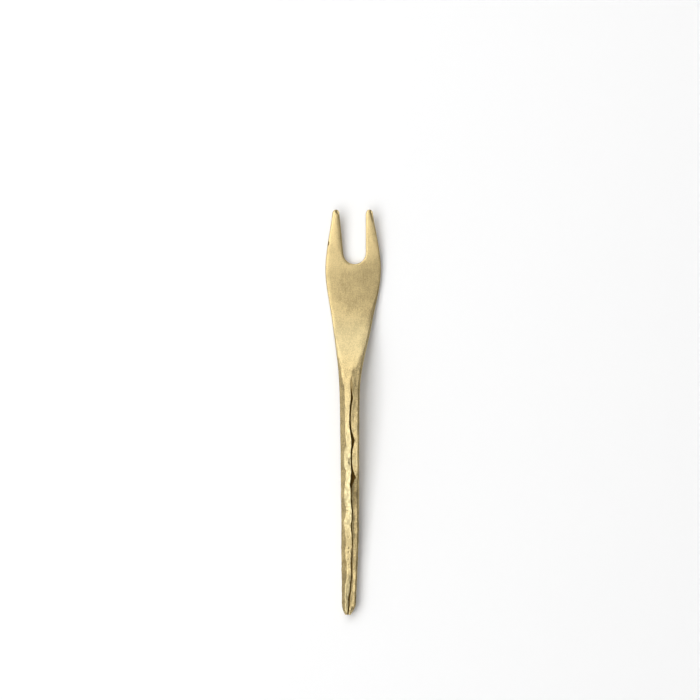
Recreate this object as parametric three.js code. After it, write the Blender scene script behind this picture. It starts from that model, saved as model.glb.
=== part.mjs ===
// Olive fork: one piece of brass. Its handle is rolled in from both sides and hammered down to two lobes
// with a cleft between them, and its other end is spread into a flat head with two tines.
// Millimetres, +Z up. The fork lies on the plane z = 0 with its tines towards +Y,
// and the origin is on that plane, under the middle of the fork.

import * as THREE from 'three';
import { mergeVertices } from 'three/addons/utils/BufferGeometryUtils.js';

const { clamp, lerp, smoothstep } = THREE.MathUtils;

// Lengths along the fork, from the tail to the tips
const HANDLE_LENGTH = 84;
const NECK_LENGTH = 24;
const HEAD_LENGTH = 22;
const TINE_LENGTH = 20;
const TAIL_TAPER = 36;
const TAIL_ROUND = 2.9;
const TAIL_BLUNTNESS = 1.1;
const TIP_ROUND = 1.8;

// Widths seen from above
const TAIL_END_WIDTH = 2.3;
const TAIL_WIDTH = 5.1;
const GRIP_WIDTH = 6.7;
const NECK_WIDTH = 7.7;
const ROOT_WIDTH = 14.6;
const HEAD_WIDTH = 20.6;
const TIP_WIDTH = 2.7;
const TIP_SPACING = 12.4;
const CROTCH_RADIUS = 4.2;

// Offsets of a hand-made outline from the middle of the head, towards +X
const TAIL_END_SHIFT = -2.15;
const TAIL_SHIFT = -1.75;
const GRIP_SHIFT = -1.15;
const NECK_SHIFT = -1.3;
const ROOT_SHIFT = -0.35;
const CROTCH_SHIFT = 0.5;
const TIP_SHIFT = -0.2;

// Distances back from the bottom of the gap to where the head is widest and where it touches the table
const SHOULDER_BACK = 2;
const BELLY_BACK = 9;

// Thicknesses
const TAIL_END_HEIGHT = 4.2;
const TAIL_THICKNESS = 5;
const NECK_THICKNESS = 5.2;
const ROOT_THICKNESS = 2.8;
const HEAD_THICKNESS = 2.4;
const TIP_THICKNESS = 1.2;

// Height of the underside over the table, which the tail meets with a flat
const REST_LENGTH = 14;
const GRIP_PLACE = 49;
const GRIP_LIFT = 3;
const NECK_LIFT = 5.4;
const TIP_LIFT = 4.2;

// Worn edges and the gentle crowns of the head and the tines
const EDGE_ROUND = 0.45;
const EDGE_SHARE = 0.4;
const HEAD_CROWN = 0.2;
const TINE_CROWN = 0.08;
const UNDER_CHAMFER = 0.8;

// Left lobe: a slope up to a narrow flat ridge, which runs on into the neck at a gentler fall
const LEFT_FACE_TAIL = 1.2;
const LEFT_FACE_PINCH = 2;
const LEFT_FACE_NECK = 2.05;
const LEFT_SLOPE = 0.8;
const LEFT_SLOPE_NECK = 0.25;
const LEFT_FOOT = 0.7;
const LEFT_RUNOUT = 26;
const PINCH_PLACE = 17;

// How much lower the left edge of the ridge lies than its right edge, and how far both fall at the tail
const RIDGE_TILT_TAIL = 0;
const RIDGE_TILT_PINCH = 0.06;
const RIDGE_TILT_GRIP = 0.25;
const RIDGE_CROWN = 0.1;

// Right lobe: a lower face with a bevelled edge, which runs on into the neck as a slope that softens
const RIGHT_FACE_TAIL = 2.65;
const RIGHT_FACE_GRIP = 3.3;
const RIGHT_FACE_FOLD = 3.6;
const RIGHT_FACE_NECK = 3.2;
const RIGHT_FALL = 0.4;
const RIGHT_BEVEL = 0.6;
const RIGHT_BEVEL_DROP = 0.42;
const NECK_SLOPE = 0.12;
const FOLD_LEAD = 2;
const NECK_FACE_LEAD = 16;
const RIGHT_RUNOUT = 40;

// Cleft between the lobes: it opens at the neck and widens to a cusp where two blows meet
const CLEFT_WIDTH_NECK = 0.32;
const CLEFT_WIDTH_TAIL = 0.22;
const CLEFT_DEPTH = 2;
const CLEFT_FLOOR = 0.35;
const CLEFT_LEAD = 4;
const CLEFT_RUNOUT = 10;
const CUSP_LENGTH = 4;
const CUSPS = [0.4, 0.9, 1.1, 0.1, 0.1, 0.25, 0, 0.1];

// Hammer blows along the handle, each one a little shorter than the one before it
const BLOWS = 7;
const BLOW_RATIO = 0.9;
const BLOW_START = 3.7;
const LEFT_DISH = [0.12, 0.15, 0.12, 0.2, 0.15, 0.18, 0.1];
const LEFT_BULGE = [0.1, 0.75, 0.75, 0.8, 0.5, 0.2, 0.1];
const RIGHT_DISH = [0.02, 0.03, 0.05, 0.15, 0.08, 0.04, 0.04];
const RIGHT_TILT = [-0.1, -0.1, 0.55, 0.2, 0.1, 0.1, 0.05];
const RIGHT_BULGE = [0.6, 0.35, 0.45, 0.45, 0.15, -0.25, 0];

// Rings of points that the surface is lofted through, and points round an edge
const TAIL_RINGS = 5;
const RINGS_PER_BLOW = 12;
const HEAD_RINGS = 30;
const ARC_RINGS = 8;
const TINE_RINGS = 9;
const TIP_RINGS = 5;
const SIDE_POINTS = 6;

// Places along the fork that follow from the lengths
const ROOT = HANDLE_LENGTH + NECK_LENGTH;
const CROTCH = ROOT + HEAD_LENGTH;
const LENGTH = CROTCH + TINE_LENGTH;
const BLOWS_FROM = HANDLE_LENGTH - BLOW_START;
const CLEFT_FROM = HANDLE_LENGTH + CLEFT_LEAD;
const BELLY = CROTCH - BELLY_BACK;
const SHOULDER = CROTCH - SHOULDER_BACK;
const TRUNK_END = CROTCH - CROTCH_RADIUS;
const ARC_CENTRE = CROTCH + CROTCH_RADIUS;
const TIP_START = LENGTH - TIP_ROUND;

// Smooth curve through [place, value] stations that never overshoots them
function curveThrough(stations) {
  const slopes = [];
  for (let i = 0; i + 1 < stations.length; i++) {
    const [place, value] = stations[i];
    const [nextPlace, nextValue] = stations[i + 1];
    slopes.push((nextValue - value) / (nextPlace - place));
  }
  const tangents = [slopes[0]];
  for (let i = 1; i < slopes.length; i++) {
    const product = slopes[i - 1] * slopes[i];
    tangents.push(product > 0 ? 2 * product / (slopes[i - 1] + slopes[i]) : 0);
  }
  tangents.push(slopes[slopes.length - 1]);
  return (place) => {
    let i = 0;
    while (i + 1 < slopes.length && place > stations[i + 1][0]) i++;
    const span = stations[i + 1][0] - stations[i][0];
    const t = clamp((place - stations[i][0]) / span, 0, 1);
    const bend = span * t * (1 - t) * (tangents[i] * (1 - t) - tangents[i + 1] * t);
    return lerp(stations[i][1], stations[i + 1][1], smoothstep(t, 0, 1)) + bend;
  };
}

// Proportions along the fork
const width = curveThrough([
  [0, TAIL_WIDTH],
  [TAIL_TAPER, GRIP_WIDTH],
  [HANDLE_LENGTH, NECK_WIDTH],
  [ROOT, ROOT_WIDTH],
  [SHOULDER, HEAD_WIDTH],
  [TIP_START, TIP_SPACING + TIP_WIDTH],
]);
const middle = curveThrough([
  [0, TAIL_SHIFT],
  [TAIL_TAPER, GRIP_SHIFT],
  [HANDLE_LENGTH, NECK_SHIFT],
  [ROOT, ROOT_SHIFT],
  [SHOULDER, 0],
  [TIP_START, TIP_SHIFT],
]);
const under = curveThrough([
  [0, 0],
  [REST_LENGTH, 0],
  [GRIP_PLACE, GRIP_LIFT],
  [HANDLE_LENGTH, NECK_LIFT],
  [BELLY, 0],
  [LENGTH, TIP_LIFT],
]);
const thickness = curveThrough([
  [0, TAIL_THICKNESS],
  [HANDLE_LENGTH, NECK_THICKNESS],
  [ROOT, ROOT_THICKNESS],
  [BELLY, HEAD_THICKNESS],
  [LENGTH, TIP_THICKNESS],
]);

// Widths of the slope left of the ridge and of all that lies right of it
const leftFace = curveThrough([
  [0, LEFT_FACE_TAIL],
  [PINCH_PLACE, LEFT_FACE_PINCH],
  [HANDLE_LENGTH, LEFT_FACE_NECK],
  [HANDLE_LENGTH + LEFT_RUNOUT, EDGE_ROUND],
]);
const rightFace = curveThrough([
  [0, RIGHT_FACE_TAIL],
  [TAIL_TAPER, RIGHT_FACE_TAIL],
  [BLOWS_FROM, RIGHT_FACE_GRIP],
  [HANDLE_LENGTH + FOLD_LEAD, RIGHT_FACE_FOLD],
  [HANDLE_LENGTH + NECK_FACE_LEAD, RIGHT_FACE_NECK],
  [HANDLE_LENGTH + RIGHT_RUNOUT, EDGE_ROUND],
]);

// Fall of the left slope for each millimetre across, and the crown and tilt of the ridge
const leftSlope = (place) =>
  lerp(LEFT_SLOPE, LEFT_SLOPE_NECK, smoothstep(place, HANDLE_LENGTH, HANDLE_LENGTH + LEFT_RUNOUT));
const ridgeCrown = (place) => RIDGE_CROWN * (1 - smoothstep(place, PINCH_PLACE, TAIL_TAPER));
const ridgeTilt = curveThrough([
  [0, RIDGE_TILT_TAIL],
  [PINCH_PLACE, RIDGE_TILT_PINCH],
  [TAIL_TAPER, RIDGE_TILT_GRIP],
  [HANDLE_LENGTH, RIDGE_TILT_GRIP],
  [HANDLE_LENGTH + LEFT_RUNOUT, 0],
]);

// Share of the handle's section at a place: 1 on the handle, 0 on the flat head, fading over half a runout
const gripUntil = (end, fade) => (place) => 1 - smoothstep(place, end - fade, end);
const leftGrip = gripUntil(HANDLE_LENGTH + LEFT_RUNOUT, LEFT_RUNOUT / 2);
const rightGrip = gripUntil(HANDLE_LENGTH + RIGHT_RUNOUT, RIGHT_RUNOUT / 2);

// Shares of the open cleft, which deepens slowly from the neck, and of the soft slope above the fold
const clefted = (place) => gripUntil(CLEFT_FROM, CLEFT_RUNOUT)(place) ** 2;
const softened = (place) => smoothstep(place, HANDLE_LENGTH + FOLD_LEAD, HANDLE_LENGTH + NECK_FACE_LEAD);

// Radius of the worn edges, which a thin tip limits
const edgeAt = (place) => Math.min(EDGE_ROUND, EDGE_SHARE * thickness(place));

// Points over and under a spot in the plan; the head's upper face is slightly crowned
function over(x, place, fall) {
  const across = (x - middle(place)) / (width(place) / 2);
  const crown = HEAD_CROWN * (1 - rightGrip(place)) * (1 - across ** 2);
  return new THREE.Vector3(x, place - LENGTH / 2, under(place) + thickness(place) + crown - fall);
}

function below(x, place, rise) {
  return new THREE.Vector3(x, place - LENGTH / 2, under(place) + rise);
}

// Blows counted down from the neck, with a whole number where two blows meet
const BLOW_SUM = 1 - BLOW_RATIO ** BLOWS;
const blowAt = (place) => Math.log(1 - (1 - place / BLOWS_FROM) * BLOW_SUM) / Math.log(BLOW_RATIO);
const placeOfBlow = (blow) => BLOWS_FROM * (1 - (1 - BLOW_RATIO ** blow) / BLOW_SUM);

// What the hammer did at one place of the handle: each blow dishes the two faces, tilts the right one
// and pushes the ridge to the left, and the cleft gapes where two blows meet
function hammered(place) {
  const blow = Math.max(0, blowAt(place));
  const number = Math.floor(blow);
  const meeting = (2 * (blow - number) - 1) ** 2;
  const within = (marks) => marks[number % marks.length] * (1 - meeting);
  const nearest = Math.round(blow);
  const apart = Math.abs(place - placeOfBlow(nearest));
  const plainGap = lerp(CLEFT_WIDTH_TAIL, CLEFT_WIDTH_NECK, place / HANDLE_LENGTH);
  return {
    leftDish: within(LEFT_DISH),
    leftBulge: within(LEFT_BULGE),
    rightDish: within(RIGHT_DISH),
    rightTilt: within(RIGHT_TILT),
    rightBulge: within(RIGHT_BULGE),
    gap: plainGap + CUSPS[nearest % CUSPS.length] * Math.max(0, 1 - apart / CUSP_LENGTH),
  };
}

// Point on a rounded edge as [inset from the side, fall from the face], where a turn of 0 is on the face
// and a turn of 1 is on the side
function onRound(edge, turn) {
  const angle = turn * Math.PI / 2;
  return [edge * (1 - Math.sin(angle)), edge * (1 - Math.cos(angle))];
}

// Right side of a section in the same form, from the ridge outwards: rounded on the head, and elsewhere
// down into the cleft and over the right lobe to its bevel, or on a plain slope where the cleft is shut
function roundedSide(edge) {
  const points = [];
  for (let i = 1; i <= SIDE_POINTS; i++) points.push(onRound(edge, i / SIDE_POINTS));
  return points;
}

function lobedSide(place, face, mark) {
  const gap = Math.min(mark.gap, face / 2);
  const lip = face - gap;
  const browFall = RIGHT_FALL + mark.rightTilt;
  const points = [
    [face - CLEFT_FLOOR * gap, CLEFT_DEPTH],
    [lip + CLEFT_FLOOR * gap, CLEFT_DEPTH],
    [lip, RIGHT_FALL],
    [(lip + RIGHT_BEVEL) / 2, (RIGHT_FALL + browFall) / 2 + mark.rightDish],
    [RIGHT_BEVEL, browFall],
    [0, browFall + RIGHT_BEVEL_DROP],
  ];
  const bevelFall = (inset) => RIGHT_BEVEL_DROP * Math.max(0, 1 - inset / RIGHT_BEVEL);
  const plainFall = (inset) => {
    const away = face - inset;
    const softening = lerp(1, away / (2 * face), softened(place));
    return NECK_SLOPE * away * softening + bevelFall(inset);
  };
  return points.map(([inset, fall]) => [inset, lerp(plainFall(inset), fall, clefted(place))]);
}

const between = (from, to, share) =>
  from.map(([inset, fall], i) => [lerp(inset, to[i][0], share), lerp(fall, to[i][1], share)]);

// Ring round the handle or head: over the top from left to right, then back underneath.
// Its points at UPPER_HEART and LOWER_HEART run to the crotch, where the ring divides in two.
const UPPER_HEART = 4;
const LOWER_HEART = 15;

function trunkRing(place) {
  const mark = hammered(place);
  const edge = edgeAt(place);
  const onLeft = leftGrip(place);
  const onRight = rightGrip(place);
  const parting = smoothstep(place, ROOT, TRUNK_END);

  // Left side, the two edges of the ridge, and right side
  const left = middle(place) - width(place) / 2;
  const right = middle(place) + width(place) / 2;
  const face = rightFace(place) + mark.rightBulge;
  const ridgeLeft = left + leftFace(place) - mark.leftBulge;
  const ridgeRight = right - face;
  const heart = lerp((ridgeLeft + ridgeRight) / 2, CROTCH_SHIFT, parting);
  const tilt = ridgeTilt(place);
  const crown = ridgeCrown(place);

  // Left slope and right side, from rounded edges on the head to the two lobes of the handle
  const leftFall = edge + leftSlope(place) * (leftFace(place) - EDGE_ROUND);
  const [inset, fall] = onRound(edge, 0.5);
  const slopeX = lerp(left + inset, lerp(left, ridgeLeft, LEFT_FOOT), onLeft);
  const slopeFall = lerp(fall, lerp(leftFall, tilt, LEFT_FOOT) + mark.leftDish, onLeft);
  const rightSide = between(roundedSide(edge), lobedSide(place, face, mark), onRight);
  const chamfer = lerp(edge, UNDER_CHAMFER, onRight);

  // Towards the crotch the middle of the ring runs ahead of its sides
  const lead = parting * (CROTCH - edgeAt(CROTCH) - TRUNK_END);
  const placeAt = (x) => {
    const across = x < heart ? (heart - x) / (heart - left) : (x - heart) / (right - heart);
    return place + lead * (1 - across ** 2);
  };
  const high = (x, fall) => over(x, placeAt(x), fall);
  const low = (x, rise) => below(x, placeAt(x), rise);
  const ring = [
    high(left, leftFall),
    high(slopeX, slopeFall),
    high(ridgeLeft, tilt + crown),
    high((ridgeLeft + heart) / 2, tilt * 3 / 4),
    high(heart, tilt / 2),
    high((heart + ridgeRight) / 2, tilt / 4),
    high(ridgeRight, crown),
    ...rightSide.map(([inset, fall]) => high(right - inset, fall)),
    low(right, chamfer),
    low(right - chamfer, 0),
    low(heart, 0),
    low(left + chamfer, 0),
    low(left, chamfer),
  ];
  drawIn(ring, place);
  return ring;
}

// Where the tail is cut back and rounded, a ring shrinks towards the middle of the end
function drawIn(ring, place) {
  const cut = Math.max(0, 1 - place / TAIL_ROUND) ** TAIL_BLUNTNESS;
  const core = under(place) + thickness(place) / 2;
  for (const corner of ring) {
    corner.x = lerp(corner.x, lerp(TAIL_END_SHIFT, corner.x, TAIL_END_WIDTH / TAIL_WIDTH), cut);
    corner.z = lerp(corner.z, lerp(core, corner.z, TAIL_END_HEIGHT / TAIL_THICKNESS), cut);
  }
}

// Inner side of a tine, as a point and the direction out of the gap; side is -1 left, 1 right
function innerSide(side, ring) {
  if (ring <= ARC_RINGS) {
    const angle = ring / ARC_RINGS * Math.PI / 2;
    const away = new THREE.Vector2(side * Math.sin(angle), -Math.cos(angle));
    const point = new THREE.Vector2(CROTCH_SHIFT, ARC_CENTRE).addScaledVector(away, CROTCH_RADIUS);
    return { point, away };
  }
  const base = new THREE.Vector2(CROTCH_SHIFT + side * CROTCH_RADIUS, ARC_CENTRE);
  const tip = new THREE.Vector2(TIP_SHIFT + side * (TIP_SPACING - TIP_WIDTH) / 2, TIP_START);
  return { point: base.lerp(tip, (ring - ARC_RINGS) / TINE_RINGS), away: new THREE.Vector2(side, 0) };
}

// Outer side of a tine, in the same form
function outerSide(side, place) {
  const point = new THREE.Vector2(middle(place) + side * width(place) / 2, place);
  return { point, away: new THREE.Vector2(-side, 0) };
}

// Wall of the gap between the tines, from its rounded upper edge down
function gapWall({ point, away }, edge) {
  const [inset, fall] = onRound(edge, 0.5);
  const upper = point.clone().addScaledVector(away, inset);
  return [
    over(upper.x, upper.y, fall),
    over(point.x, point.y, edge),
    below(point.x, point.y, edge),
  ];
}

// Ring round one tine, in the order of the trunk ring that it starts from; its upper face rises to a crown
function tineRing(side, outer, inner, crown) {
  const reach = outer.point.distanceTo(inner.point);
  const edge = Math.min(edgeAt(inner.point.y), EDGE_SHARE * reach);
  const spot = (from, step) => from.point.clone().addScaledVector(from.away, step);
  const high = (from, step, fall) => over(spot(from, step).x, spot(from, step).y, fall);
  const low = (from, step, rise) => below(spot(from, step).x, spot(from, step).y, rise);
  const heart = outer.point.clone().lerp(inner.point, 0.5);
  const top = over(heart.x, heart.y, -crown);
  const wall = gapWall(inner, edge);
  if (side < 0) {
    return [
      high(outer, 0, edge),
      high(outer, ...onRound(edge, 0.5)),
      high(outer, edge, 0),
      top,
      high(inner, edge, 0),
      ...wall,
      low(inner, edge, 0),
      low(outer, edge, 0),
      low(outer, 0, edge),
    ];
  }
  return [
    high(inner, edge, 0),
    top,
    high(outer, edge, 0),
    ...roundedSide(edge).map(([inset, fall]) => high(outer, inset, fall)),
    low(outer, 0, edge),
    low(outer, edge, 0),
    low(inner, edge, 0),
    ...wall.reverse(),
  ];
}

// All rings of one tine, from its half of the last trunk ring to its rounded tip
function tineRings(side, trunkEnd) {
  const crotch = gapWall(innerSide(side, 0), edgeAt(CROTCH));
  const rings = [
    side < 0
      ? [...trunkEnd.slice(0, UPPER_HEART + 1), ...crotch, ...trunkEnd.slice(LOWER_HEART)]
      : [...trunkEnd.slice(UPPER_HEART, LOWER_HEART + 1), ...crotch.reverse()],
  ];
  const sideRings = ARC_RINGS + TINE_RINGS;
  for (let ring = 1; ring <= sideRings; ring++) {
    const place = lerp(TRUNK_END, TIP_START, ring / sideRings);
    const crown = TINE_CROWN * smoothstep(ring, 0, ARC_RINGS);
    rings.push(tineRing(side, outerSide(side, place), innerSide(side, ring), crown));
  }
  for (let ring = 1; ring <= TIP_RINGS; ring++) {
    const turn = ring / (TIP_RINGS + 0.5);
    const round = Math.sqrt(1 - turn ** 2);
    const place = TIP_START + TIP_ROUND * ring / TIP_RINGS;
    const centre = TIP_SHIFT + side * TIP_SPACING / 2;
    const across = side * round * TIP_WIDTH / 2;
    const outer = { point: new THREE.Vector2(centre + across, place), away: new THREE.Vector2(-side, 0) };
    const inner = { point: new THREE.Vector2(centre - across, place), away: new THREE.Vector2(side, 0) };
    rings.push(tineRing(side, outer, inner, TINE_CROWN * round));
  }
  return rings;
}

// Triangles between each ring and the next, facing out
function loft(rings, corners) {
  for (let r = 0; r + 1 < rings.length; r++) {
    const near = rings[r];
    const far = rings[r + 1];
    near.forEach((corner, i) => {
      const next = (i + 1) % near.length;
      corners.push(corner, near[next], far[next], corner, far[next], far[i]);
    });
  }
}

// Flat face that closes an end ring, facing the tail or the tips
function cap(ring, facesTail, corners) {
  const outline = ring.map((corner) => new THREE.Vector2(corner.x, corner.z));
  for (const face of THREE.ShapeUtils.triangulateShape(outline, [])) {
    const order = facesTail ? face : face.reverse();
    corners.push(...order.map((i) => ring[i]));
  }
}

// Places of the trunk rings, closer together round the tail and on every meeting of two blows
function trunkPlaces() {
  const places = [];
  for (let i = 0; i < TAIL_RINGS; i++) places.push(TAIL_ROUND * i / TAIL_RINGS);
  const lastBlow = Math.floor(blowAt(TAIL_ROUND) * RINGS_PER_BLOW);
  for (let i = lastBlow; i > 0; i--) places.push(placeOfBlow(i / RINGS_PER_BLOW));
  for (let i = 0; i <= HEAD_RINGS; i++) places.push(lerp(BLOWS_FROM, TRUNK_END, i / HEAD_RINGS));
  return places;
}

function forkGeometry() {
  const trunk = trunkPlaces().map(trunkRing);
  const trunkEnd = trunk[trunk.length - 1];
  const corners = [];
  cap(trunk[0], true, corners);
  loft(trunk, corners);
  for (const side of [-1, 1]) {
    const tine = tineRings(side, trunkEnd);
    loft(tine, corners);
    cap(tine[tine.length - 1], false, corners);
  }
  const geometry = mergeVertices(new THREE.BufferGeometry().setFromPoints(corners));
  geometry.computeVertexNormals();
  return geometry;
}

const satinBrass = new THREE.MeshStandardMaterial({ color: '#cdb277', roughness: 0.4, metalness: 1 });

const oliveFork = new THREE.Mesh(forkGeometry(), satinBrass);
oliveFork.name = 'olive_fork';

const fork = new THREE.Group();
fork.add(oliveFork);

export default fork;
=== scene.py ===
# %% [markdown]
# A hand-forged olive fork in satin brass
#
# The fork is one piece of brass. A smith rolled the handle in from both sides and hammered it down,
# so that two lobes meet along a wavy cleft, and spread the other end into a flat head with two tines.
# Nothing is fastened to it and nothing moves, so the picture rests on one mesh and one finish.
# The lesson takes the exact solid as a blank, refines it with Blender's modelling tools, adds the
# marks of the hammer, lets patina settle in the cleft together with painted shade, paints highlights
# into the colour of the neck, the crest and the tines, and lights the fork on a white sheet.

# %% [markdown]
# The frame
#
# The solid comes in as a frame that is never changed. It is in metres with +Z up, the tines point
# along +Y, and the table is the plane z = 0. The finished fork has to stay inside it.

# %% Load the frame
import math
from collections import namedtuple
from itertools import pairwise

import bmesh
import bpy
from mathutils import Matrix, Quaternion, Vector
from mathutils.bvhtree import BVHTree
from mathutils.geometry import intersect_point_line


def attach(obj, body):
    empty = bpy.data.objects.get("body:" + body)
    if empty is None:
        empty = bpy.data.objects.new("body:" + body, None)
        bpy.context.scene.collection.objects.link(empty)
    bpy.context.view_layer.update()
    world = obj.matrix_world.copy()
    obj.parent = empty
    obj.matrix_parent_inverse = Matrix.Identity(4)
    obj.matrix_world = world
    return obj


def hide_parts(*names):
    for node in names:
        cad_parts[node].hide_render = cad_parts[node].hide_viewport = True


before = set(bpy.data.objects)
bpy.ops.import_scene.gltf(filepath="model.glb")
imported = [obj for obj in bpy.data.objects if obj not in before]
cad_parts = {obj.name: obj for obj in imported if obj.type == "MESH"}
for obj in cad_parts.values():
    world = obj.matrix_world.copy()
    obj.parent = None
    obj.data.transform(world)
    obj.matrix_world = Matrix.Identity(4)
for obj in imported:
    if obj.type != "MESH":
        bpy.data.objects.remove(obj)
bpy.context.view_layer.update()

MM = 0.001


# %% [markdown]
# A blank to work on
#
# The fork could be modelled from a cube again, but then its outline would only be close to the
# solid's. A copy of the solid is exact. The copy brings stored normals, which are cleared so that
# Blender works them out again. It is a soup of loose triangles, so its corners are merged, at a
# thousandth of a millimetre because some faces are very narrow. Pairs of triangles then become
# four-sided faces, which a subdivision surface follows far better.

# %% Copy the solid and clean it
MERGE_DISTANCE = 0.001 * MM
ANY_ANGLE = math.pi


def only(piece):
    """Selects one object, alone, and makes it the active one."""
    bpy.ops.object.select_all(action="DESELECT")
    piece.select_set(True)
    bpy.context.view_layer.objects.active = piece


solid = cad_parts["olive_fork"]
fork = bpy.data.objects.new("forged_fork", solid.data.copy())
bpy.context.scene.collection.objects.link(fork)
only(fork)
bpy.ops.mesh.customdata_custom_splitnormals_clear()
bpy.ops.object.mode_set(mode="EDIT")
bpy.ops.mesh.select_all(action="SELECT")
bpy.ops.mesh.remove_doubles(threshold=MERGE_DISTANCE)
bpy.ops.mesh.tris_convert_to_quads(face_threshold=ANY_ANGLE, shape_threshold=ANY_ANGLE)
bpy.ops.object.mode_set(mode="OBJECT")
four_sided = sum(len(face.vertices) == 4 for face in fork.data.polygons)
print("blank:", len(fork.data.vertices), "corners and", len(fork.data.polygons), "faces")
print("faces with four sides:", four_sided)


# %% [markdown]
# Ridges that stay crisp
#
# A subdivision surface rounds everything. On the real handle the ridge and the lips of the cleft are
# still crisp, worn only by use. A crease keeps them: it holds an edge back from the rounding by a
# share of its weight. The sharp edges are found by the angle between their two faces.

# %% Crease the sharp edges and subdivide
SHARP_ANGLE = math.radians(15)
CREASE = 0.85
SUBDIVISIONS = 2

bpy.ops.object.mode_set(mode="EDIT")
bpy.ops.mesh.select_mode(type="EDGE")
bpy.ops.mesh.select_all(action="DESELECT")
bpy.ops.mesh.edges_select_sharp(sharpness=SHARP_ANGLE)
bpy.ops.transform.edge_crease(value=CREASE)
bpy.ops.object.mode_set(mode="OBJECT")
print("creased:", sum(edge.select for edge in fork.data.edges), "edges")

smooth = fork.modifiers.new("Smooth", "SUBSURF")
smooth.levels = SUBDIVISIONS
smooth.render_levels = SUBDIVISIONS
bpy.ops.object.modifier_apply(modifier=smooth.name)
bpy.ops.object.shade_smooth()
print("smoothed:", len(fork.data.polygons), "faces")


# %% [markdown]
# Marks of the hammer
#
# A hammered bar is never flat: each face of the handle has shallow dimples about as wide as the
# tool's edge, and a fine orange peel between them. The head was rubbed flat and has neither. A
# vertex group holds the marks to the handle, with weights that fade out along the neck.

# %% Mark out the handle
HANDLE_END = 3 * MM
NECK_END = 13 * MM


def share_between(value, none, full):
    """Share that goes from 0 at one value to 1 at another, and stays there."""
    return min(1, max(0, (value - none) / (full - none)))


def weigh(name, weight_at):
    """Makes a vertex group and gives each corner its weight in it."""
    weights = [weight_at(corner) for corner in fork.data.vertices]
    group = fork.vertex_groups.new(name=name)
    for number, weight in enumerate(weights):
        group.add([number], weight, "REPLACE")
    print(name + ":", sum(weight > 0 for weight in weights), "of", len(weights), "corners")


weigh("handle", lambda corner: share_between(corner.co.y, NECK_END, HANDLE_END))


# %% [markdown]
# The dimples could be sculpted one by one. Two displacements are quicker and even: a broad one for
# the tool and a fine one for the peel. Both only push inwards, so the fork never grows out of its
# box. The group is given by its name, because applying a modifier can move the group in memory.

# %% Dimple the handle
DIMPLE_SIZE = 1.6 * MM
DIMPLE_DEPTH = 0.2 * MM
PEEL_SIZE = 0.45 * MM
PEEL_DEPTH = 0.08 * MM


def dent(name, size, depth):
    """Presses a cloudy pattern into the handle, along its normals."""
    pattern = bpy.data.textures.new(name, "CLOUDS")
    pattern.noise_scale = size
    stamp = fork.modifiers.new(name, "DISPLACE")
    stamp.texture = pattern
    stamp.texture_coords = "LOCAL"
    stamp.mid_level = 1
    stamp.strength = depth
    stamp.vertex_group = "handle"
    bpy.ops.object.modifier_apply(modifier=stamp.name)
    print(name + ":", round(depth / MM, 2), "mm deep at most")


dent("dimples", DIMPLE_SIZE, DIMPLE_DEPTH)
dent("orange_peel", PEEL_SIZE, PEEL_DEPTH)


# %% [markdown]
# Single marks
#
# Some marks are one of a kind. Each is a pull or a push of the nearest corner, with proportional
# editing to carry its neighbours along, as by hand. A mark with a path is a row of such pulls, as far
# apart as each one reaches, so that together they move the whole path by about the same amount.
# Places, shifts and reaches are in millimetres.

# %% Set up the pulls
FACING_UP = 0.5
Mark = namedtuple("Mark", "what path shift reach")


def pull(place, shift, reach):
    """Moves the upper corner nearest to a place, and its neighbours within reach."""
    shape = bmesh.from_edit_mesh(fork.data)
    spot = Vector(place) * MM
    upper = (corner for corner in shape.verts if corner.normal.z > FACING_UP)
    nearest = min(upper, key=lambda corner: (corner.co.xy - spot).length)
    bpy.ops.mesh.select_all(action="DESELECT")
    nearest.select = True
    bmesh.update_edit_mesh(fork.data)
    bpy.ops.transform.translate(
        value=Vector(shift) * MM,
        use_proportional_edit=True,
        proportional_edit_falloff="SMOOTH",
        proportional_size=reach * MM,
    )


def press(marks):
    """Pulls along the path of each mark, in steps no longer than its reach."""
    bpy.ops.object.mode_set(mode="EDIT")
    bpy.ops.mesh.select_mode(type="VERT")
    for mark in marks:
        pull(mark.path[0], mark.shift, mark.reach)
        for first, last in pairwise(mark.path):
            steps = math.ceil(math.dist(first, last) / mark.reach)
            for step in range(1, steps + 1):
                pull(Vector(first).lerp(Vector(last), step / steps), mark.shift, mark.reach)
    bpy.ops.object.mode_set(mode="OBJECT")
    print("pressed:", ", ".join(mark.what for mark in marks))


upper_corners = sum(corner.normal.z > FACING_UP for corner in fork.data.vertices)
print("corners on the upper side:", upper_corners)


# %% [markdown]
# The blows pushed the ridge and the cleft sideways a little more than the solid shows. These pulls
# slide them, so that the ridge narrows to a waist between two blows and swells inside some of them.
# The last two bring out the sides of the handle near the tail.

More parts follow.
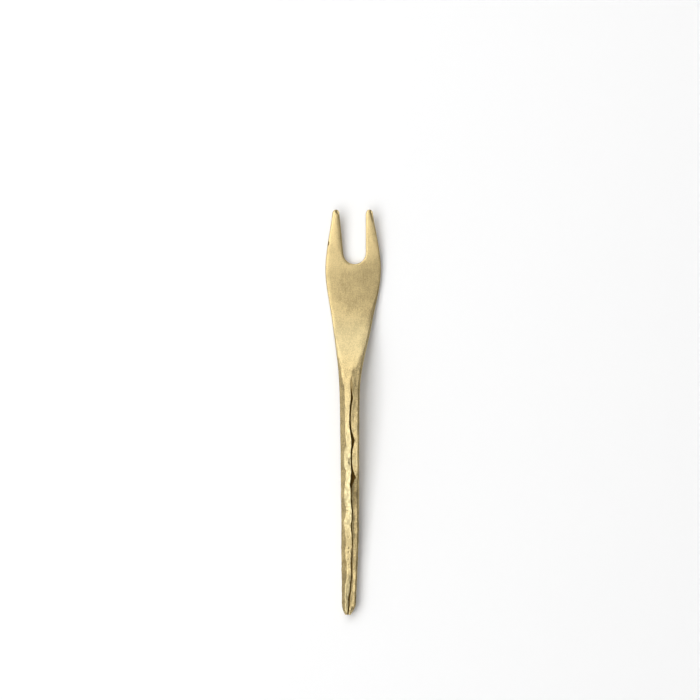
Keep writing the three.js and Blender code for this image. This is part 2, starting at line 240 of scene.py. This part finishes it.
# %% Slide the ridge and the cleft
press((
    Mark("waist under the first blow", ((-2.9, -12.2),), (0.55, 0, 0), 3),
    Mark("waist at the foot of the second blow", ((-2.9, -21.4),), (0.35, 0, 0), 2),
    Mark("swelling in the fourth blow", ((-3, -40.8),), (-0.4, 0, 0), 2.5),
    Mark("swelling in the fifth blow", ((-2.8, -51.2),), (-0.25, 0, 0), 2),
    Mark("waist above the tail", ((-2.6, -55.6),), (0.3, 0, 0), 1.5),
    Mark("ridge on the tail", ((-2.5, -64), (-2.6, -68.5)), (-0.4, 0, 0), 1.6),
    Mark("cleft in the third blow", ((-0.7, -24), (-0.8, -31)), (-0.45, 0, 0), 2.4),
    Mark("cleft in the fourth blow", ((-0.9, -39), (-1, -43)), (0.2, 0, 0), 2),
    Mark("cleft towards the tail", ((-1, -45), (-1.2, -61)), (0.37, 0, 0), 2),
    Mark("cleft above the tail", ((-1.2, -63),), (0.1, 0, 0), 2),
    Mark("cleft on the tail", ((-1.5, -65), (-1.6, -67)), (0.2, 0, 0), 2),
    Mark("cleft near the end", ((-1.7, -69), (-1.7, -71)), (0.3, 0, 0), 2),
    Mark("right side near the tail", ((3, -41), (2.2, -71)), (0.18, 0, 0), 1.8),
    Mark("left side near the tail", ((-4.4, -45), (-4.2, -59)), (-0.14, 0, 0), 1.8),
))

# %% [markdown]
# Files and hammers left broad faces too. The inner face of the left tine falls and the right tine
# rises a little. Both shoulders of the neck are fuller than in the solid, the right lobe stands
# higher on two stretches, and a low crest runs down the tail.

# %% Tilt the broad faces
press((
    Mark("left tine", ((-5, 72), (-4.4, 61)), (0, 0, -0.08), 1.5),
    Mark("right tine", ((7.1, 73), (9.3, 60)), (0, 0, 0.1), 3.5),
    Mark("right shoulder", ((3.3, 23.5), (2.6, 11)), (0, 0, 0.11), 1.8),
    Mark("top of the right shoulder", ((2, 21), (2, 19.5), (1.2, 17.2)), (0, 0, 0.09), 1.3),
    Mark("left shoulder", ((-5.2, 19), (-4.4, 14.5), (-3.9, 11)), (0, 0, 0.36), 1.2),
    Mark("right lobe", ((1.3, -28), (1.3, -35)), (0, 0, 0.12), 1.7),
    Mark("right lobe near the tail", ((1.3, -60), (0.9, -70)), (0, 0, 0.11), 1.7),
    Mark("crest of the tail", ((-2.3, -60.5), (-2.8, -66), (-2.8, -72)), (0, 0, 0.05), 0.9),
))

# %% [markdown]
# The small marks come next: bevels on the tips, a nick in the left tine, a dull nodule on the lip of
# the cleft and a shiny one at the tail, creases where two blows overlap, a row of pits, and a torn
# end on the right lobe.

# %% Press the small marks
PITS = ((-1.75, -46), (-1.5, -50.1), (-1.6, -51.6), (-1.8, -54.2), (-1.6, -56.4))

press((
    Mark("left tip", ((-6.1, 74.6), (-5.6, 73.7)), (0, 0, -0.3), 0.7),
    Mark("right tip", ((6.6, 74.5), (7.5, 71.2)), (0, 0, -0.3), 0.6),
    Mark("nick", ((-9.1, 63.1), (-9.2, 62.2)), (0, 0, -0.22), 0.3),
    Mark("start of the cleft", ((-0.4, 13), (-0.75, 9.6)), (0, 0, -0.06), 0.8),
    Mark("crease under the neck", ((0.2, 9.2), (2.2, 8.7)), (0, 0, -0.14), 0.45),
    Mark("dull nodule", ((-1.2, -17.3), (-1.2, -18.7)), (0, 0, -0.15), 0.9),
    Mark("upper crease", ((-2.9, -35), (-1.3, -35)), (0, 0, -0.12), 0.4),
    Mark("lower crease", ((-2.9, -36.3), (-1.5, -36.4)), (0, 0, -0.12), 0.4),
    Mark("crease above the tail", ((-3.4, -57.6), (1.1, -57.9)), (0, 0, -0.14), 0.45),
    *(Mark("pit", (place,), (0, 0, -0.18), 0.35) for place in PITS),
    Mark("torn end", ((0.1, -72.4), (0.2, -73.2), (-0.4, -74.1)), (0, 0, -0.3), 0.6),
    Mark("shiny nodule", ((-0.8, -73),), (0, 0, 0.35), 0.5),
    Mark("rim of the tail", ((-3.2, -74.4), (-2, -74.8)), (0, 0, -0.3), 0.6),
))

# %% [markdown]
# A softer edge on the neck
#
# The left slope of the handle runs up into the neck and flattens there. On the real neck it flattens
# a little sooner, so the rim is lifted by a row of pulls that swell and fade along it. Each pull aims
# to the left of the neck, and so takes hold of the nearest corner on its rim.

# %% Lift the left rim of the neck
RIM_FROM = 15
RIM_TO = 30
RIM_LIFT = 0.15
RIM_REACH = 1.6
RIM_STEP = 0.8
FAR_LEFT = -8

rim_pulls = round((RIM_TO - RIM_FROM) / RIM_STEP)
bpy.ops.object.mode_set(mode="EDIT")
for number in range(1, rim_pulls):
    share = number / rim_pulls
    place = (FAR_LEFT, RIM_FROM + (RIM_TO - RIM_FROM) * share)
    pull(place, (0, 0, RIM_LIFT * math.sin(math.pi * share)), RIM_REACH)
bpy.ops.object.mode_set(mode="OBJECT")
print("rim lifted by", rim_pulls - 1, "pulls")


# %% [markdown]
# Where patina and painted shade gather
#
# Brass darkens where no cloth reaches, and the cleft also lies in shade; here both are painted into
# the colour as one brown. The dark could be painted along the cleft, but how closed in a point is can
# be measured: rays leave it in many directions over its surface, and the share that meets the fork
# again within about two millimetres says how deep in the cleft it lies. A golden spiral spreads the
# directions evenly over half a sphere.

# %% Measure how closed in each corner is
RAYS = 40
RAY_REACH = 2.2 * MM
RAY_START = 0.02 * MM
GOLDEN_TURN = math.pi * (3 - math.sqrt(5))
UP = Vector((0, 0, 1))

half_sphere = []
for number in range(RAYS):
    rise = 1 - (number + 0.5) / RAYS
    turn = GOLDEN_TURN * number
    level = math.sqrt(1 - rise ** 2)
    half_sphere.append(Vector((level * math.cos(turn), level * math.sin(turn), rise)))

tree = BVHTree.FromObject(fork, bpy.context.evaluated_depsgraph_get())


def closed_at(corner):
    """Share of the rays from a corner that meet the fork again."""
    tilt = UP.rotation_difference(corner.normal)
    start = corner.co + corner.normal * RAY_START
    hits = (tree.ray_cast(start, tilt @ ray, RAY_REACH)[0] for ray in half_sphere)
    return sum(hit is not None for hit in hits) / RAYS


cavity = [closed_at(corner) for corner in fork.data.vertices]
print("most closed in:", max(cavity), "of the rays meet the fork")


# %% [markdown]
# The patina and painted shade don't stop at the lip of the cleft. They creep over it by a hair, which
# is about one edge of this mesh: each corner takes a share of its neighbours' values. The result is
# kept on the mesh as an attribute, which the finish can read. A picture of it would need a UV map, and
# an attribute needs none.

# %% Let the patina and painted shade creep over the lips
CREEP = 0.65


def keep(name, value_at):
    """Works out a value at each corner and keeps it on the mesh, for the finish to read."""
    values = [value_at(corner) for corner in fork.data.vertices]
    layer = fork.data.attributes.new(name, "FLOAT", "POINT")
    layer.data.foreach_set("value", values)
    print(name + ":", sum(value > 0 for value in values), "of", len(values), "corners")


patina_and_shade_mask = list(cavity)
for edge in fork.data.edges:
    for here, there in (edge.vertices, reversed(edge.vertices)):
        patina_and_shade_mask[here] = max(patina_and_shade_mask[here], CREEP * cavity[there])
# The mask carries patina and painted shade in the cleft.
keep("patina_and_shade_mask", lambda corner: patina_and_shade_mask[corner.index])


# %% [markdown]
# Where hands rub, and a painted highlight
#
# The crest of the handle stands highest, so hands and cloth rub it bright; it also faces the window,
# so a painted highlight lightens its colour as well. One height for the whole fork wouldn't find it,
# because the crest rises and falls. So the fork is measured in thin slices, and each corner is
# compared with the highest one in its own slice.

# %% Measure how far each corner lies under the crest
SLICE = 1.5 * MM


def slice_of(corner):
    """Number of the slice that a corner lies in."""
    return round(corner.co.y / SLICE)


crest = {}
for corner in fork.data.vertices:
    here = slice_of(corner)
    crest[here] = max(crest.get(here, 0), corner.co.z)


def depth_at(corner):
    """Depth of a corner under the highest one in its slice."""
    return crest[slice_of(corner)] - corner.co.z


print("slices:", len(crest), "with crests up to", round(max(crest.values()) / MM, 2), "mm high")


# %% [markdown]
# The paler crest isn't even, in wear and painted highlight alike. It is brightest in the middle of the
# handle, where fingers grip, fades below the grip and comes back a little at the tail, which presses
# into the palm. Shares along the handle say so in a few named places, and need no painting.

# %% Find the crest that is rubbed bright and lightened as painted highlight
CREST_FULL = 0.2 * MM
CREST_END = 0.45 * MM
GRIP_FULL = -24 * MM
GRIP_STILL = -36 * MM
GRIP_END = -50 * MM
PALM_FROM = -58 * MM
PALM_FULL = -64 * MM
PALM_RUB = 0.5
LEAST_RUB = 0.2


def rub_and_sheen_at(corner):
    """How much the crest is polished by rubbing and lightened as painted highlight, by its place along
    the handle and its depth.
    """
    along = corner.co.y
    gripped = share_between(along, GRIP_END, GRIP_STILL)
    pressed = PALM_RUB * share_between(along, PALM_FROM, PALM_FULL)
    held = share_between(along, NECK_END, GRIP_FULL) * max(LEAST_RUB, gripped, pressed)
    return held * share_between(depth_at(corner), CREST_END, CREST_FULL)


# Rubbing and a painted highlight share one value on the crest.
keep("rubbed_and_sheen", rub_and_sheen_at)


# %% [markdown]
# Three more values only depend on the place along the fork. The neck is painted paler than its
# neighbours, a painted highlight where it faces the box beyond the tines. The tines are painted a
# little lighter, a painted highlight in place of light from the box on the side of the tail. The
# handle keeps a more broken tone than the head, which was rubbed smooth.

# %% Find the painted highlights on the neck and the tines, and the rugged handle
NECK_LIGHT_FROM = 16 * MM
NECK_LIGHT_FULL = 24 * MM
NECK_LIGHT_STILL = 30 * MM
NECK_LIGHT_END = 38 * MM
NECK_HIGHLIGHT = 0.32
TINE_LIGHT_FROM = 52 * MM
TINE_LIGHT_FULL = 64 * MM
RUGGED_FROM = 45 * MM
RUGGED_FULL = 28 * MM


def lit_neck_at(corner):
    """How much the neck is lightened as painted highlight: it grows from the handle and fades towards
    the head.
    """
    along = corner.co.y
    grown = share_between(along, NECK_LIGHT_FROM, NECK_LIGHT_FULL)
    left_over = share_between(along, NECK_LIGHT_END, NECK_LIGHT_STILL)
    return NECK_HIGHLIGHT * grown * left_over


# Painted highlight on the neck.
keep("lit_neck", lit_neck_at)
# Painted highlight on the tines, in place of light from the box on the side of the tail.
keep("lit_tines", lambda corner: share_between(corner.co.y, TINE_LIGHT_FROM, TINE_LIGHT_FULL))
keep("rugged", lambda corner: share_between(corner.co.y, RUGGED_FROM, RUGGED_FULL))


# %% [markdown]
# Painted shade beside the cleft
#
# In a few places the brown is not in the cleft but beside it, as painted shade: at the start of the
# cleft, on the dull nodule, in the dish of the third blow and in a notch on the left slope. Each spot
# is a short line, in millimetres, and fades from it sideways. Where two meet, the stronger one counts.

# %% Lay down the painted shade beside the cleft
ShadeSpot = namedtuple("ShadeSpot", "what first last reach strength")
SHADE_SPOTS = (
    ShadeSpot("start of the cleft", (-0.75, 12), (-0.3, 8), 0.7, 0.5),
    ShadeSpot("dull nodule", (-1.2, -17.2), (-1.2, -18.8), 0.8, 0.15),
    ShadeSpot("dish of the third blow", (0.7, -28.5), (0.7, -34.5), 1, 0.2),
    ShadeSpot("notch on the left slope", (-3.2, -54.8), (-2.8, -56.8), 0.7, 0.4),
)


def shade_spot_at(corner):
    """Strongest painted shade at a corner; each spot fades from its middle line."""
    spot = corner.co.xy / MM
    strongest = 0
    for shade_spot in SHADE_SPOTS:
        first, last = Vector(shade_spot.first), Vector(shade_spot.last)
        along = intersect_point_line(spot, first, last)[1]
        away = (spot - first.lerp(last, share_between(along, 0, 1))).length
        strongest = max(strongest, shade_spot.strength * share_between(away, shade_spot.reach, 0))
    return strongest


# Painted shade, in the brown of the patina, in a few dents and notches.
keep("painted_shade", shade_spot_at)
print("stains:", ", ".join(shade_spot.what for shade_spot in SHADE_SPOTS))


# %% [markdown]
# A cleft that runs out
#
# Towards the tail the cleft is shallower, hammered nearly shut and filled with old polish. The solid
# keeps it deep there, so the visual mesh lifts its floor. A displacement along Z does that up to a
# set depth under the crest. The weights say how far each corner has to rise, so walls above that
# depth stay where they are.

# %% Fill the cleft towards the tail
SILT_FROM = -38 * MM
SILT_FULL = -46 * MM
SILT_DEPTH = 0.75 * MM
CLEFT_DEPTH = 2 * MM
CAVITY_AT_LIP = 0.35
CAVITY_INSIDE = 0.5


def silt_at(corner):
    """Share of the cleft's depth that a corner rises by."""
    inside = share_between(cavity[corner.index], CAVITY_AT_LIP, CAVITY_INSIDE)
    towards_tail = share_between(corner.co.y, SILT_FROM, SILT_FULL)
    too_deep = share_between(depth_at(corner), SILT_DEPTH, SILT_DEPTH + CLEFT_DEPTH)
    return inside * towards_tail * too_deep


weigh("silted", silt_at)
fill = fork.modifiers.new("Silt", "DISPLACE")
fill.direction = "Z"
fill.mid_level = 0
fill.strength = CLEFT_DEPTH
fill.vertex_group = "silted"
bpy.ops.object.modifier_apply(modifier=fill.name)
print("cleft filled up to", round(SILT_DEPTH / MM, 2), "mm below the crest at the tail")


# %% [markdown]
# Satin brass
#
# Brass is a metal, so its colour is the tint of what it mirrors. A cloth and fine grit leave it satin:
# the grain blurs the mirror, and the colour drifts a little where fingers have been. Some of the
# colour is painted light and shade: highlights on the neck, the crest and the tines, and shade in the
# cleft. All of it comes from noises on object coordinates and from the values kept on the mesh, so
# nothing slides when the fork is seen from another side. Four small helpers keep the node code short.
# They add to whichever nodes and links were opened last.

# %% Open the finish
brass = bpy.data.materials.new("satin_brass")
brass.use_nodes = True
nodes = brass.node_tree.nodes
links = brass.node_tree.links
shader = nodes["Principled BSDF"]
shader.inputs["Metallic"].default_value = 1


def feed(socket, value):
    """Gives a socket a number or a colour, or links it to another socket."""
    if isinstance(value, bpy.types.NodeSocket):
        links.new(value, socket)
    else:
        socket.default_value = value


def between(value, low, high, to_low=0, to_high=1):
    """Maps a value from one range to another and stops at its ends."""
    span = nodes.new("ShaderNodeMapRange")
    span.inputs["From Min"].default_value = low
    span.inputs["From Max"].default_value = high
    span.inputs["To Min"].default_value = to_low
    span.inputs["To Max"].default_value = to_high
    feed(span.inputs["Value"], value)
    return span.outputs["Result"]


def mix(share, first, second):
    """Mixes two colours by a share."""
    blend = nodes.new("ShaderNodeMix")
    blend.data_type = "RGBA"
    feed(blend.inputs["Factor"], share)
    feed(blend.inputs["A"], first)
    feed(blend.inputs["B"], second)
    return blend.outputs["Result"]


def combine(operation, first, second):
    """Adds a maths node for two values."""
    node = nodes.new("ShaderNodeMath")
    node.operation = operation
    feed(node.inputs[0], first)
    feed(node.inputs[1], second)
    return node.outputs["Value"]


print("finish:", brass.name, "with", len(nodes), "nodes to start from")


# %% [markdown]
# Four noises stand for what the metal has been through: a slow drift of colour, a fine grain from
# the grit, scratches drawn out along the fork by the brush, and short rub marks for the crest.
# A Mapping node stretches a noise: a small factor along Y makes long streaks.

# %% Draw the noises
DRIFT_WAVES = 180
GRAIN_WAVES = 2600
SCRATCH_WAVES = 900
SCRATCH_STRETCH = (4, 0.25, 4)
RUB_WAVES = 1000
RUB_STRETCH = (1.2, 0.8, 1.2)

where = nodes.new("ShaderNodeTexCoord")


def noise(name, waves, detail, stretch=(1, 1, 1)):
    """Adds a noise on object coordinates, with so many waves per metre."""
    mapping = nodes.new("ShaderNodeMapping")
    mapping.inputs["Scale"].default_value = stretch
    texture = nodes.new("ShaderNodeTexNoise")
    texture.name = name
    texture.inputs["Scale"].default_value = waves
    texture.inputs["Detail"].default_value = detail
    feed(mapping.inputs["Vector"], where.outputs["Object"])
    feed(texture.inputs["Vector"], mapping.outputs["Vector"])
    print(name + ":", waves, "waves per metre")
    return texture.outputs["Fac"]


drift = noise("drift", DRIFT_WAVES, detail=3)
grain = noise("grain", GRAIN_WAVES, detail=3)
scratches = noise("scratches", SCRATCH_WAVES, detail=2, stretch=SCRATCH_STRETCH)
rub_marks = noise("rub_marks", RUB_WAVES, detail=2, stretch=RUB_STRETCH)


# %% [markdown]
# The noises add up to one tone, which mixes a darker and a lighter brass; a painted highlight raises
# the tone of the tines. The head takes the mix gently and the handle strongly. A narrower range of the
# tone gives the stronger contrast.

# %% Mix the brass of the body
BRASS_DARK = (0.36, 0.279, 0.135, 1)
BRASS_LIGHT = (0.6, 0.471, 0.235, 1)
DRIFT_SHARE = 0.35
GRAIN_SHARE = 0.4
SCRATCH_SHARE = 0.25
TINE_LIGHT_SHARE = 0.1
GENTLE = (0.38, 0.62)
STRONG = (0.44, 0.56)


def measured(name):
    """Reads one of the values that were kept on the mesh."""
    attribute = nodes.new("ShaderNodeAttribute")
    attribute.attribute_name = name
    return attribute.outputs["Fac"]


def add_share(total, value, share):
    """Adds a share of a value to a total."""
    return combine("ADD", total, combine("MULTIPLY", value, share))


tone = combine("MULTIPLY", drift, DRIFT_SHARE)
tone = add_share(tone, grain, GRAIN_SHARE)
tone = add_share(tone, scratches, SCRATCH_SHARE)
# Painted highlight: the tines' tone is raised.
tone = add_share(tone, measured("lit_tines"), TINE_LIGHT_SHARE)
gentle = mix(between(tone, *GENTLE), BRASS_DARK, BRASS_LIGHT)
strong = mix(between(tone, *STRONG), BRASS_DARK, BRASS_LIGHT)
body = mix(measured("rugged"), gentle, strong)
print("brass from", BRASS_DARK[:3], "to", BRASS_LIGHT[:3])


# %% [markdown]
# Over the body lie the painted highlights, the rubbed crest and the patina. The neck is lightened as a
# painted highlight. Rubbed brass is paler and less yellow, and on the crest it also carries a painted
# highlight. Patina is brown, and with it comes painted shade: it covers the spots beside the cleft and
# all that is closed in. It comes last, because no hand reaches into the cleft.

# %% Lighten the neck and the crest, and lay on the patina and painted shade
# Crest colours: rubbed brass, lightened further as painted highlight; the lighter one also paints the
# neck's highlight.
RUBBED_SHEEN_DARK = (0.48, 0.412, 0.228, 1)
RUBBED_SHEEN_LIGHT = (0.65, 0.563, 0.32, 1)
RUB_CONTRAST = (0.4, 0.6)
# Brown for patina, which also paints the shade in the cleft and in the spots beside it.
PATINA_AND_SHADE = (0.22, 0.135, 0.032, 1)
PATINA_AND_SHADE_RANGE = (0.28, 0.55)

# Painted highlight: the neck is lightened towards the crest's lighter colour.
body = mix(measured("lit_neck"), body, RUBBED_SHEEN_LIGHT)
crest_tone = mix(between(rub_marks, *RUB_CONTRAST), RUBBED_SHEEN_DARK, RUBBED_SHEEN_LIGHT)
# The crest takes rubbed brass with a painted highlight.
bright = mix(measured("rubbed_and_sheen"), body, crest_tone)
# Patina and painted shade turn the cleft and the spots beside it brown.
patina_and_shade_share = combine("MAXIMUM", between(measured("patina_and_shade_mask"), *PATINA_AND_SHADE_RANGE), measured("painted_shade"))
feed(shader.inputs["Base Color"], mix(patina_and_shade_share, bright, PATINA_AND_SHADE))
print("rubbed brass up to", RUBBED_SHEEN_LIGHT[:3], "and patina", PATINA_AND_SHADE[:3])


# %% [markdown]
# Satin is in the roughness and the bump more than in the colour. The scratches vary the roughness a
# little, patina makes it dull, and the grain and the scratches stand a few hundredths of a
# millimetre high. Such fine relief would take millions of faces, so a Bump node makes it.

# %% Roughen the brass
ROUGH_NOISE = (0.3, 0.7)
ROUGH_BRASS = (0.37, 0.49)
ROUGH_PATINA = 0.4
BUMP_STRENGTH = 0.5
BUMP_HEIGHT = 0.05 * MM

rough = add_share(between(scratches, *ROUGH_NOISE, *ROUGH_BRASS), patina_and_shade_share, ROUGH_PATINA)
feed(shader.inputs["Roughness"], rough)

bump = nodes.new("ShaderNodeBump")
bump.inputs["Strength"].default_value = BUMP_STRENGTH
bump.inputs["Distance"].default_value = BUMP_HEIGHT
feed(bump.inputs["Height"], combine("ADD", grain, scratches))
feed(shader.inputs["Normal"], bump.outputs["Normal"])

fork.data.materials.clear()
fork.data.materials.append(brass)
print("finish:", brass.name, "with", len(nodes), "nodes")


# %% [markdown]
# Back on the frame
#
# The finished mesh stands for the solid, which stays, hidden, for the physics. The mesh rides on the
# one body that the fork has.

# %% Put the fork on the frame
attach(fork, "root")
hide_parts("olive_fork")
print("on the frame:", fork.name)


# %% [markdown]
# The table
#
# The fork lies on a sheet of white paper that rises at its rim, so that a low view has paper behind
# it too. A plane would end at a hard horizon. The sheet is a disc whose edge is extruded outwards and
# upwards in steps along a quarter of an ellipse.

# %% Lay the white sheet
SHEET_RADIUS = 2.6
SHEET_SIDES = 96
RIM_RADIUS = 3.2
RIM_HEIGHT = 0.55
RIM_STEPS = 8
CENTRE = (0, 0, 0)

bpy.ops.object.select_all(action="DESELECT")
bpy.ops.mesh.primitive_circle_add(vertices=SHEET_SIDES, radius=SHEET_RADIUS, fill_type="NGON")
sheet = bpy.context.object
sheet.name = "white_sheet"
bpy.ops.object.mode_set(mode="EDIT")
bpy.ops.mesh.select_mode(type="EDGE")
bpy.ops.mesh.select_all(action="DESELECT")
bpy.ops.mesh.select_non_manifold()
reached = SHEET_RADIUS
height = 0
for step in range(1, RIM_STEPS + 1):
    angle = step / RIM_STEPS * math.pi / 2
    radius = SHEET_RADIUS + (RIM_RADIUS - SHEET_RADIUS) * math.sin(angle)
    rise = RIM_HEIGHT * (1 - math.cos(angle))
    growth = radius / reached
    bpy.ops.mesh.extrude_edges_move(TRANSFORM_OT_translate={"value": (0, 0, rise - height)})
    bpy.ops.transform.resize(value=(growth, growth, 1), center_override=CENTRE)
    reached = radius
    height = rise
bpy.ops.object.mode_set(mode="OBJECT")
bpy.ops.object.shade_smooth()
print("sheet:", round(2 * reached, 2), "m across, with a rim", round(height, 2), "m high")


# %% [markdown]
# Near the fork the paper only shows the light that falls on it, which keeps the shadow. Far from the
# lamps it would go grey, so a glow takes over there. More lamps would do the same, but they would
# also wash out the metal. Only camera, mirrored and transmitted rays see the glow, so it throws no
# light into the shadow, and the brass still mirrors white paper.

# %% Make the paper
PAPER = (0.97, 0.97, 0.97, 1)
GLOW_FROM = 0.6
GLOW_FULL = 2
GLOW = 0.6

paper = bpy.data.materials.new("white_paper")
paper.use_nodes = True
nodes = paper.node_tree.nodes
links = paper.node_tree.links
nodes.clear()
output = nodes.new("ShaderNodeOutputMaterial")
diffuse = nodes.new("ShaderNodeBsdfDiffuse")
diffuse.inputs["Color"].default_value = PAPER
glow = nodes.new("ShaderNodeEmission")
ray = nodes.new("ShaderNodeLightPath")
where = nodes.new("ShaderNodeTexCoord")
distance = nodes.new("ShaderNodeVectorMath")
distance.operation = "LENGTH"
feed(distance.inputs[0], where.outputs["Object"])
far = between(distance.outputs["Value"], GLOW_FROM, GLOW_FULL, 0, GLOW)
seen = combine("MAXIMUM", ray.outputs["Is Camera Ray"], ray.outputs["Is Glossy Ray"])
seen = combine("MAXIMUM", seen, ray.outputs["Is Transmission Ray"])
feed(glow.inputs["Strength"], combine("MULTIPLY", seen, far))
together = nodes.new("ShaderNodeAddShader")
feed(together.inputs[0], diffuse.outputs["BSDF"])
feed(together.inputs[1], glow.outputs["Emission"])
feed(output.inputs["Surface"], together.outputs["Shader"])
sheet.data.materials.append(paper)
print("paper:", paper.name, "glows from", GLOW_FROM, "m outwards")


# %% [markdown]
# The light
#
# A weak dome fills the shadows. An even dome would flatten the metal, so this one is brighter on the
# window's side: the direction of each ray is compared with one axis, and the result sets the
# strength.

# %% Light the dome
DOME_WHITE = (1, 1, 1, 1)
DOME_AXIS = (-0.7, 0.1, 0.71)
DOME_RANGE = (-0.57, 1)
DOME_STRENGTH = (0.02, 0.5)

world = bpy.data.worlds.new("studio")
bpy.context.scene.world = world
world.use_nodes = True
nodes = world.node_tree.nodes
links = world.node_tree.links
background = nodes["Background"]
background.inputs["Color"].default_value = DOME_WHITE
where = nodes.new("ShaderNodeTexCoord")
along_axis = nodes.new("ShaderNodeVectorMath")
along_axis.operation = "DOT_PRODUCT"
along_axis.inputs[1].default_value = DOME_AXIS
feed(along_axis.inputs[0], where.outputs["Generated"])
strength = between(along_axis.outputs["Value"], *DOME_RANGE, *DOME_STRENGTH)
feed(background.inputs["Strength"], strength)
print("dome strength:", DOME_STRENGTH)


# %% [markdown]
# The shadow lies to the right and is soft, so one large window stands high on the left. Satin metal
# shows what it faces: the ridge leans left and mirrors the window, and the head lies level and
# mirrors its edge. The neck falls towards the head and mirrors a smaller box beyond the tines. The
# tines rise towards their tips and mirror another one on the side of the tail.

# %% Hang the softboxes
LAMP_DISTANCE = 1.3


def softbox(name, lean, size, radiance, spin=0):
    """Hangs a lamp that leans from the zenith by two angles, in degrees, and faces the fork."""
    lamp = bpy.data.lights.new(name, "AREA")
    lamp.shape = "RECTANGLE"
    lamp.size, lamp.size_y = size
    lamp.energy = radiance * math.pi * size[0] * size[1]
    stand = bpy.data.objects.new(name, lamp)
    bpy.context.scene.collection.objects.link(stand)
    sideways, lengthways = (math.tan(math.radians(angle)) for angle in lean)
    away = Vector((sideways, lengthways, 1)).normalized()
    stand.location = away * LAMP_DISTANCE
    stand.rotation_mode = "QUATERNION"
    turn = Quaternion(UP, math.radians(spin))
    stand.rotation_quaternion = UP.rotation_difference(away) @ turn
    print(name + ":", round(lamp.energy, 2), "W")


softbox("window", lean=(-29, 2), size=(0.88, 2.0), radiance=2.68, spin=-5)
softbox("back_box", lean=(-2, 42), size=(0.46, 0.4), radiance=3.4)
softbox("front_box", lean=(-2, -22), size=(0.42, 0.36), radiance=2.6)


# %% [markdown]
# The camera
#
# The fork is seen from straight above. A long lens keeps the outline nearly free of perspective, and
# the camera stands as far away as the lens needs to see the given width of the table.

# %% Place the camera
LENS = 135
SENSOR = 36
VIEW_WIDTH = 260.2 * MM
VIEW_CENTRE = (-1.17 * MM, 23.15 * MM)

camera_data = bpy.data.cameras.new("camera")
camera_data.lens = LENS
camera_data.sensor_width = SENSOR
camera = bpy.data.objects.new("camera", camera_data)
bpy.context.scene.collection.objects.link(camera)
camera.location = (*VIEW_CENTRE, VIEW_WIDTH * LENS / SENSOR)
bpy.context.scene.camera = camera
bpy.context.scene.view_settings.view_transform = "Standard"
print("camera:", round(camera.location.z, 3), "m above the table")
